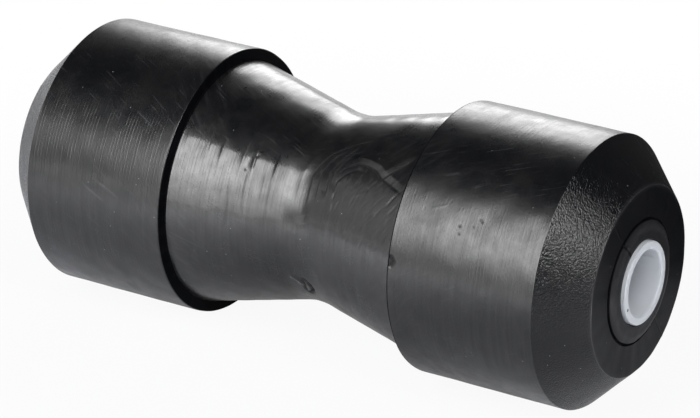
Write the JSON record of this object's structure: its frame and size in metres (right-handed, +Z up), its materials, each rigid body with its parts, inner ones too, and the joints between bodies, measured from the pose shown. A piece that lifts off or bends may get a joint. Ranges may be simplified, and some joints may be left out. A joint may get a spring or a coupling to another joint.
{
  "type": "keel roller",
  "caption": "Black rubber keel roller with a V-shaped waist between stepped drums and bevelled ends, turning on a pale liner tube with a spindle bore.",
  "frame": {"origin": "centre of the spindle bore, midway between the two ends", "axes": "+Y along the spindle bore, which is the roller's spin axis; +Z up; the keel crosses the waist along X"},
  "size_m": [0.08, 0.198, 0.08],
  "materials": {
    "moulded_rubber": "satin black, with fine turning marks and scuffs",
    "nylon_liner": "natural nylon, pale grey, smooth"
  },
  "bodies": {
    "liner": {"liner_tube": "nylon_liner"},
    "roller": {"rubber_roller": "moulded_rubber"}
  },
  "joints": [
    {"name": "roller_spin", "type": "hinge", "parent": "liner", "child": "roller", "pos_m": [0, 0, 0], "axis": [0, 1, 0], "continuous": true}
  ]
}
